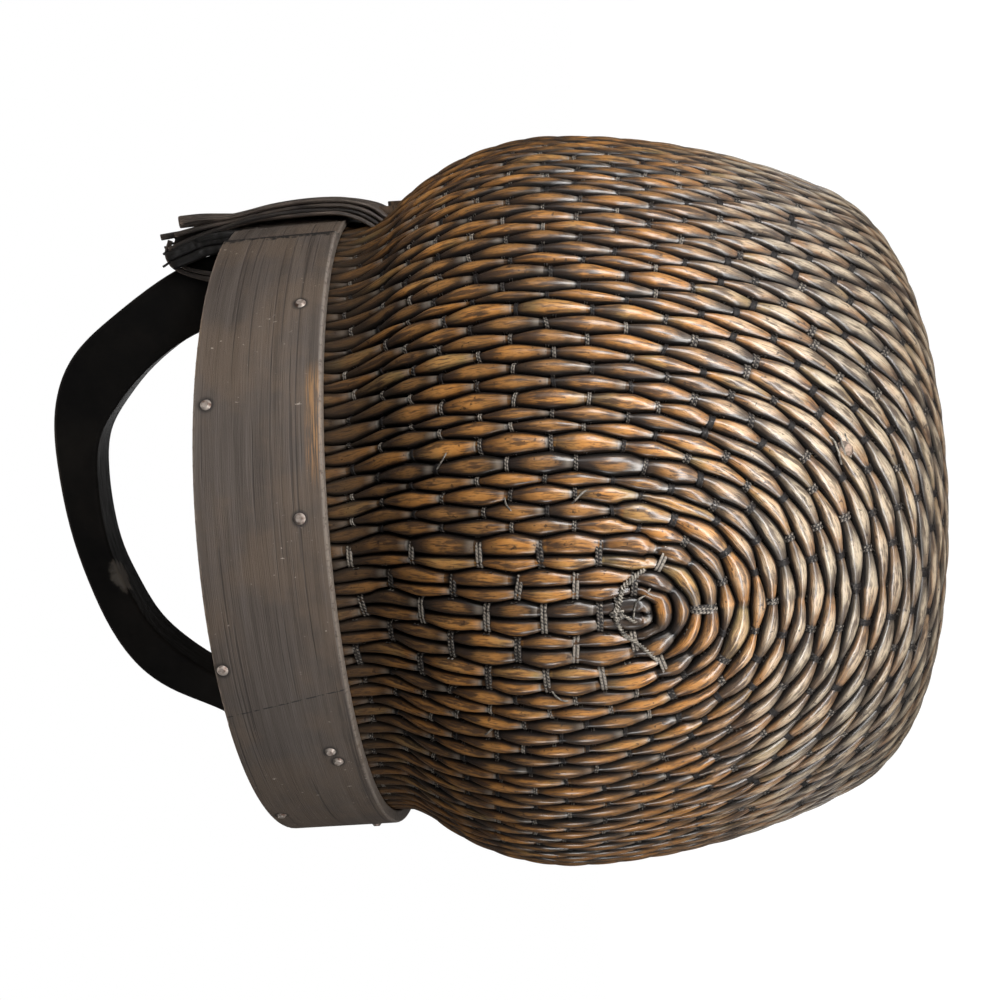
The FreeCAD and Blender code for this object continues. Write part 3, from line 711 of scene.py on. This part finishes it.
# Rim band
# One sawn strip of wood bent into a hoop, worn grey, with its grain running round the rim. Its lap
# is by the right foot. The CAD solid stays and gets this finish.

RIM_NAILS = [
    (-36, 10), (-71, 10), (-110, 12.5), (-112.5, 10.5), (-147, 11), (147, 12), (110, 10), (72, 11),
    (-53, 46), (-93, 48), (-130, 46), (-163, 47), (163, 46), (127, 47), (90, 46), (52, 47),
]

rim_wood, rim_surface, start = new_finish("weathered_rim_wood")
place = start.step("ShaderNodeTexCoord", None, None, 3)
parts = place.step("ShaderNodeSeparateXYZ", None, {0: place})
x = Stain(parts.socket.node.outputs[0]) + 0.0045
y = Stain(parts.socket.node.outputs[1])
z = Stain(parts.socket.node.outputs[2]) - x * math.tan(RIM_LEAN)
bearing = y.maths("ARCTAN2", x) * (180 / math.pi)
radius = (x * x + y * y) ** 0.5
strip = place.step("ShaderNodeCombineXYZ", None, {0: bearing * 0.018, 1: z * 40.0, 2: radius * 40.0})
rings = strip.scaled(1.6, 7.0, 3.0).noise(1.0, 4.0, 0.55)
pores = strip.scaled(7.0, 52.0, 20.0).noise(1.0, 4.0, 0.65)
veins = strip.scaled(1.3, 19.0, 5.0).noise(1.0, 2.0, 0.5)
wear = place.noise(26.0, 5.0, 0.6)
flecks = place.scaled(1.0, 1.0, 0.6).noise(640.0, 2.0, 0.5)
rim_base = rings.step(
    "ShaderNodeValToRGB",
    {"stops": [(0.3, (0.041, 0.031, 0.024)), (0.5, (0.065, 0.0505, 0.041)), (0.7, (0.085, 0.069, 0.0585))]},
    {"Fac": rings})
browned = blend(wear.between(0.4, 0.62) * 0.45, rim_base, (0.115, 0.078, 0.05))
rim_lined = blend(pores.between(0.52, 0.68) * 0.45, browned, (0.05, 0.039, 0.032))
veined = blend(veins.between(0.6, 0.66) * 0.65, rim_lined, (0.03, 0.022, 0.018))
warm = bearing.between(-68.0, -60.0) * bearing.between(-46.0, -52.0) * z.between(0.2575, 0.259) * z.between(0.265, 0.2625)
warmed = blend(warm * pores.between(0.44, 0.56) * 0.8, veined, (0.28, 0.15, 0.06))
scuffed = blend(flecks.between(0.7, 0.76) * wear.between(0.45, 0.6) * 0.8, warmed, (0.36, 0.31, 0.26))
crossing = (bearing + (z - 0.2599) * 87.0 + 97.4).maths("ABSOLUTE")
cracked = blend(crossing.between(0.16, 0.06) * flecks.between(0.42, 0.5), scuffed, (0.012, 0.009, 0.008))
# The lap's cut end is a dark jagged line: the joint, with the shadow under its step painted in.
seam = (bearing + 15.4 + (pores - 0.5) * 1.2 + (flecks - 0.5) * 4.0).maths("ABSOLUTE")
lap_shadowed = blend(seam.between(1.4, 0.9) * 0.97, cracked, (0.008, 0.006, 0.005))
halo = 1.0 + 0 * x
for nail_bearing, nail_level in RIM_NAILS:
    turn = math.radians(nail_bearing)
    along = 154.0 * math.cos(turn)
    seat = (
        (-RIM_SHIFT + along * math.cos(RIM_LEAN) - nail_level * math.sin(RIM_LEAN)) / 1000,
        154.0 * math.sin(turn) / 1000,
        (257.9 + along * math.sin(RIM_LEAN) + nail_level * math.cos(RIM_LEAN)) / 1000,
    )
    gap = place.step("ShaderNodeVectorMath", {"operation": "DISTANCE"}, {0: place, 1: seat}, 1)
    halo = halo.maths("MINIMUM", gap)
# Painted highlight: a pale broken line along the band's lower edge.
edge_lit = blend(z.between(0.2593, 0.2583) * flecks.between(0.3, 0.5) * 0.5, lap_shadowed, (0.2, 0.168, 0.14))
stained = blend(halo.between(0.0042, 0.0024) * 0.85, edge_lit, (0.012, 0.009, 0.008))
feed(
    rim_surface, Base_Color=stained, Roughness=0.62 + pores * 0.15,
    Normal=bumped(rings * 0.3 + pores * 0.5 - veins.between(0.6, 0.66) * 0.3, 0.5, 0.001))
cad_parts["rim_band"].data.materials.clear()
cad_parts["rim_band"].data.materials.append(rim_wood)


# Bail handle
# A branch squared with a knife and bent to an arch, blackened with smoke and hands.

handle_wood, handle_surface, start = new_finish("blackened_handle_wood")
place = start.step("ShaderNodeTexCoord", None, None, 3)
grime = place.noise(30.0, 5.0, 0.6)
cuts = place.scaled(1.0, 5.0, 1.0).noise(70.0, 4.0, 0.6)
chip_place = (-0.0273, -0.01, 0.3963)
chip_gap = place.step("ShaderNodeVectorMath", {"operation": "DISTANCE"}, {0: place, 1: chip_place}, 1)
chip = (chip_gap + (cuts - 0.5) * 0.014).between(0.0105, 0.0075)
blackened = blend(grime.between(0.35, 0.75), (0.003, 0.0027, 0.0025), (0.0085, 0.007, 0.0058))
handle_colour = blend(chip * 0.7, blackened, (0.12, 0.105, 0.088))
feed(
    handle_surface, Base_Color=handle_colour, Roughness=0.65 + cuts * 0.25, Specular_IOR_Level=0.15,
    Normal=bumped(cuts, 0.4, 0.0008))
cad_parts["bail_handle"].data.materials.clear()
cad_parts["bail_handle"].data.materials.append(handle_wood)


# Bark lashings
# Flat strips of bark come out of the weave under the rim, run up its outside in layers and lean over
# the mouth to the foot of the handle. Others come up inside, and two lie across the handle's side.

# Points (out, up) of the middle lines of the strips, seen from the side.
OUTER_STRIPS = [
    [(141, 234), (146.5, 242), (152.6, 249.5), (155.8, 260), (156.8, 270), (156.6, 283), (155.2, 297), (152.9, 309),
     (151.6, 318), (151.6, 330), (150.4, 339)],
    [(140, 236), (145, 243.5), (150.6, 251.5), (153.8, 261), (154.6, 271), (154.4, 284), (152.9, 298), (150.8, 310),
     (149.0, 321), (147.0, 333), (145.0, 343)],
    [(139, 238), (144.0, 246), (149.2, 253.5), (152.0, 262), (152.6, 274), (152.4, 287), (151.0, 301), (148.8, 313),
     (145.6, 326), (142.2, 337), (138.4, 347)],
    [(138, 240), (143.0, 248), (147.6, 255.5), (150.5, 264), (151.2, 275), (150.7, 290), (149.8, 304), (147.4, 316),
     (143.6, 328), (140.0, 337), (136.0, 345)],
]
INNER_STRIPS = [
    [(139.5, 300), (140.4, 310), (141.4, 320), (141.0, 329), (138.2, 338), (134.8, 347.5)],
    [(136.6, 300), (137.0, 310), (137.6, 320), (136.8, 329), (134.2, 338), (131.0, 348)],
    [(142.0, 304), (143.4, 312), (143.8, 320), (142.8, 330), (140.4, 338), (137.0, 346)],
]
SIDE_STRIPS = [
    [(142.0, 347.5), (135.5, 350.0), (130.0, 347.6), (126.0, 341), (123.2, 332), (120.8, 318), (119.8, 300)],
    [(143.5, 343.5), (136.5, 346.6), (131.0, 344.5), (127.8, 339), (125.6, 330), (123.4, 316), (122.6, 300)],
]


def bark_bundle():
    """Every strip of one lashing: line, y at both ends, width, thickness, if it lies flat, if it is painted
    near-black as shade.

    The outer strips lie in four layers and four columns, each column a little lower than the one
    before it, and the inner ones in three layers and three columns.
    """
    random = np.random.default_rng(31)
    bundle = []
    for column, y in enumerate((-15.5, -5.5, 5.0, 15.0)):
        for layer, line in enumerate(OUTER_STRIPS):
            points = np.array(line, float)
            points[:, 0] -= 0.85 * column
            points[-2:, 1] += random.uniform(-3.0, 1.5) if column else 0.0
            bundle.append((points, y - 0.5 * layer, y + 0.7 * layer, 10.5 - 0.6 * layer, 2.35, False, False))
    for y in (-12.5, 0.5, 12.5):
        for line in INNER_STRIPS:
            points = np.array(line, float)
            points[-2:, 1] += random.uniform(-2.0, 2.0)
            bundle.append((points, y, y, 13.6, 4.8, False, True))
    for side in (-1, 1):
        for line, width in zip(SIDE_STRIPS, (2.4, 2.0)):
            bundle.append((np.array(line, float), side * 12.0, side * 11.8, width, 1.5, True, False))
    bundle.append((np.array([(146.4, 331), (145.0, 341), (143.8, 351.5)]), -13.0, -12.0, 3.0, 2.9, False, False))
    bundle.append((np.array([(149.9, 311), (150.5, 321), (150.9, 331), (150.5, 340.5)]), -15.0, -14.6, 7.4, 5.6, False, False))
    bundle.append((np.array([(146.0, 318), (145.2, 329), (143.4, 338), (141.0, 344.5)]), -10.0, -9.0, 10.0, 5.4, False, True))
    for number in range(18):
        y = random.uniform(-16, 14)
        root = random.uniform(-2.5, 4)
        tip = random.uniform(-3.5, 3.5)
        sliver = np.array([(137.5 + root, 338), (136.5 + root + 0.3 * tip, 346), (135.5 + root + tip, 351.5)])
        bundle.append((sliver, y, y + random.uniform(-2, 2), random.uniform(1.0, 2.4), 1.1, False, True))
    return bundle


def bark_mesh(name, strips, place_point):
    """Flat strips: a rounded oblong of width by thickness, carried along a smooth line of points.

    The line is a Catmull-Rom curve, and the width swells and narrows a little along it.
    """
    rings, sides = 44, 12
    angle = (np.arange(sides) + 0.5) / sides * 2 * math.pi
    flat_side = np.sign(np.cos(angle)) * np.abs(np.cos(angle)) ** 0.45
    flat_face = np.sign(np.sin(angle)) * np.abs(np.sin(angle)) ** 0.7
    random = np.random.default_rng(23)
    points, along = [], []
    for line, y_start, y_end, width, thickness, lies_flat, _ in strips:
        line = np.array(line, float)
        line = np.concatenate([2 * line[:1] - line[1:2], line, 2 * line[-1:] - line[-2:-1]])
        where = np.linspace(0, len(line) - 3 - 1e-6, rings)
        piece = where.astype(int)
        t = (where - piece)[:, None]
        p0, p1, p2, p3 = (line[piece + number] for number in range(4))
        curve = 0.5 * (2 * p1 + (p2 - p0) * t + (2 * p0 - 5 * p1 + 4 * p2 - p3) * t ** 2
                       + (3 * p1 - p0 - 3 * p2 + p3) * t ** 3)
        share = np.linspace(0, 1, rings)
        y = y_start + (y_end - y_start) * share + 0.25 * np.sin(7 * share + random.uniform(0, 6))
        middle = place_point(np.stack([curve[:, 0], y, curve[:, 1]], axis=-1))
        ahead = np.gradient(middle, axis=0)
        ahead /= np.linalg.norm(ahead, axis=-1, keepdims=True)
        wide = np.array([0.0, 1.0, 0.0]) * np.ones_like(middle)
        out = np.cross(wide, ahead)
        if lies_flat:
            out, wide = np.array([0.0, math.copysign(1.0, y_start), 0.0]) * np.ones_like(middle), out
        wide = np.cross(ahead, out)
        wobble = 1 + 0.05 * np.sin(9 * share + random.uniform(0, 6)) + 0.03 * random.normal(size=rings)
        wobble[-3:] *= [0.99, 0.96, 0.9]
        ring = middle[:, None] + wide[:, None] * (width / 2 * wobble[:, None] * flat_side)[..., None]
        ring = ring + out[:, None] * (thickness / 2 * flat_face)[None, :, None]
        points.append(ring)
        steps = np.linalg.norm(np.diff(middle, axis=0, prepend=middle[:1]), axis=-1)
        along.append(np.cumsum(steps) / 1000 + random.uniform(0, 1))
    points = np.array(points)
    walls, caps = tube_faces(len(strips), rings, sides)
    piece = add_mesh(name, points, np.concatenate([walls, caps]))
    ones = np.ones(points.shape[:3])
    # Painted shade: the inner strips, the slivers and the strip behind them get -1 and are painted near-black.
    shades = np.where([strip[-1] for strip in strips], -1.0, random.uniform(0, 1, len(strips)))
    paint(piece, strip=shades[:, None, None] * ones)
    grain_map(piece, np.array(along)[..., None] * ones, angle / (2 * math.pi) * ones, walls, caps)
    return piece


bark, bark_surface, start = new_finish("dry_bark")
place = start.step("ShaderNodeTexCoord", None, None, 3)
fibre = start.step("ShaderNodeUVMap", {"uv_map": "grain"}).scaled(40.0, 14.0, 1.0).noise(1.0, 5.0, 0.6)
tone = stored(start, "strip") * 0.5 + place.noise(60.0, 3.0, 0.5)
bark_base = blend(tone.between(0.45, 1.05), (0.016, 0.0125, 0.0105), (0.085, 0.064, 0.05))
bark_lined = blend(fibre.between(0.48, 0.62) * 0.8, bark_base, (0.01, 0.008, 0.007))
# Painted shade: strips with -1 are painted near-black.
bark_colour = blend(stored(start, "strip").between(0.0, -0.9) * 0.8, bark_lined, (0.003, 0.0027, 0.0025))
feed(bark_surface, Base_Color=bark_colour, Roughness=0.55, Normal=bumped(fibre, 0.6, 0.0008))
sides = {
    "right": lambda point: point,
    "left": lambda point: point * (-1.137, 1.0, 1.0) + (12.6, 0.0, -10.8),
}
for side, place_point in sides.items():
    lashing = bark_mesh(f"{side}_lashing", bark_bundle(), place_point)
    lashing.data.materials.append(bark)
    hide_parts(*[f"{side}_lash_{near}_{form}" for near in ("near", "far") for form in ("loop", "strip")])

strap_bark, strap_surface, start = new_finish("strap_bark")
place = start.step("ShaderNodeTexCoord", None, None, 3)
fibre = place.scaled(3.0, 3.0, 14.0).noise(60.0, 5.0, 0.6)
feed(
    strap_surface, Base_Color=blend(fibre.between(0.4, 0.65), (0.085, 0.05, 0.026), (0.02, 0.013, 0.009)),
    Roughness=0.6, Normal=bumped(fibre, 0.5, 0.0008))
for side in sides:
    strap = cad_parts[f"{side}_foot_strap"]
    strap.data.materials.clear()
    strap.data.materials.append(strap_bark)


# Rim nails
# Small hand-cut nails whose heads are rubbed pale.

iron, iron_surface, start = new_finish("rubbed_nail_heads")
place = start.step("ShaderNodeTexCoord", None, None, 3)
rust = place.noise(400.0, 3.0, 0.5)
iron_colour = blend(rust.between(0.4, 0.7), (0.36, 0.31, 0.27), (0.12, 0.07, 0.05))
axis_gap = place.step("ShaderNodeVectorMath", {"operation": "DISTANCE"}, {0: place.scaled(1.0, 1.0, 0.0), 1: (-0.0045, 0.0, 0.0)}, 1)
rusty = blend(axis_gap.between(0.1545, 0.152), iron_colour, (0.03, 0.019, 0.014))
feed(iron_surface, Base_Color=rusty, Roughness=0.45, Metallic=0.4)
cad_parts["rim_nails"].data.materials.clear()
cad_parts["rim_nails"].data.materials.append(iron)


# Studio
# A pale floor under the basket, white behind it, and soft lamps. The camera looks level at the
# basket's side and is turned so that the mouth is on the picture's left.

floor_mesh = bpy.data.meshes.new("floor")
floor_mesh.from_pydata([(-6, -6, 0), (6, -6, 0), (6, 6, 0), (-6, 6, 0)], [], [(0, 1, 2, 3)])
floor = bpy.data.objects.new("floor", floor_mesh)
bpy.context.scene.collection.objects.link(floor)
floor_finish = bpy.data.materials.new("pale_floor")
floor_finish.use_nodes = True
tree = floor_finish.node_tree
tree.nodes.clear()
start = Stain(tree.nodes.new("ShaderNodeLightPath").outputs["Is Camera Ray"])
matt = start.step("ShaderNodeBsdfDiffuse", None, {"Color": (0.8, 0.8, 0.8)})
white = start.step("ShaderNodeEmission", None, {"Color": (1.0, 1.0, 1.0), "Strength": 1.14})
shown = start.step("ShaderNodeMixShader", None, {0: start * 0.88, 1: matt, 2: white})
ends = tree.nodes.new("ShaderNodeOutputMaterial")
tree.links.new(shown.socket, ends.inputs[0])
floor_mesh.materials.append(floor_finish)

world = bpy.data.worlds.new("studio")
bpy.context.scene.world = world
world.use_nodes = True
tree = world.node_tree
tree.nodes.clear()
start = Stain(tree.nodes.new("ShaderNodeLightPath").outputs["Is Camera Ray"])
soft = start.step("ShaderNodeBackground", None, {"Color": (1.0, 1.0, 1.0), "Strength": 0.06})
clear = start.step("ShaderNodeBackground", None, {"Color": (1.0, 1.0, 1.0), "Strength": 1.0})
shown = start.step("ShaderNodeMixShader", None, {0: start, 1: soft, 2: clear})
ends = tree.nodes.new("ShaderNodeOutputWorld")
tree.links.new(shown.socket, ends.inputs[0])


def softbox(name, place, aim, size, power):
    """A lamp of a width and height at a place in metres, whose face looks at aim."""
    lamp = bpy.data.lights.new(name, "AREA")
    lamp.shape = "RECTANGLE"
    lamp.size, lamp.size_y = size
    lamp.energy = power
    box = bpy.data.objects.new(name, lamp)
    bpy.context.scene.collection.objects.link(box)
    back_way = np.array(place, float) - np.array(aim, float)
    back_way /= np.linalg.norm(back_way)
    right = np.cross((0.0, 0.0, 1.0), back_way)
    right /= np.linalg.norm(right)
    up = np.cross(back_way, right)
    turned = Matrix(np.column_stack([right, up, back_way]).tolist()).to_4x4()
    turned.translation = place
    box.matrix_world = turned
    box.visible_camera = False
    return box


softbox("base_box", (0.08, -0.31, 0.025), (0.05, -0.17, 0.12), (0.42, 0.03), 1.02)
softbox("corner_box", (0.42, -0.3, 0.04), (0.1, -0.1, 0.15), (0.25, 0.09), 1.35)
softbox("high_box", (1.3, -0.7, 0.2), (0.0, 0.0, 0.15), (0.7, 0.7), 3.0)
softbox("fill_box", (1.3, -0.75, 0.2), (0.0, 0.0, 0.15), (0.7, 0.7), 7.2).visible_glossy = False
softbox("back_box", (-0.35, 1.5, 0.45), (0.0, 0.0, 0.15), (0.7, 0.7), 9.0)
mouth_box = softbox("mouth_box", (0.02, 0.05, 1.1), (0.0, 0.0, 0.1), (0.16, 0.16), 1.6)
mouth_box.data.spread = math.radians(32)
mouth_box.visible_glossy = False
softbox("low_box", (-0.9, -0.9, 0.18), (0.0, 0.0, 0.15), (0.3, 0.3), 3.5)

camera_data = bpy.data.cameras.new("camera")
camera_data.sensor_width = 36.0
camera_data.lens = 41.4
camera = bpy.data.objects.new("camera", camera_data)
bpy.context.scene.collection.objects.link(camera)
right_way = np.array([-0.05761728, 0.03551505, -0.99770684])
up_way = np.array([0.94691587, 0.318546, -0.04334493])
forward_way = np.array([-0.31627612, 0.94724185, 0.05198352])
camera_turn = Matrix(np.column_stack([right_way, up_way, -forward_way]).tolist()).to_4x4()
camera_turn.translation = (0.188897, -0.560330, 0.169200)
camera.matrix_world = camera_turn
bpy.context.scene.camera = camera
bpy.context.scene.view_settings.view_transform = "Standard"
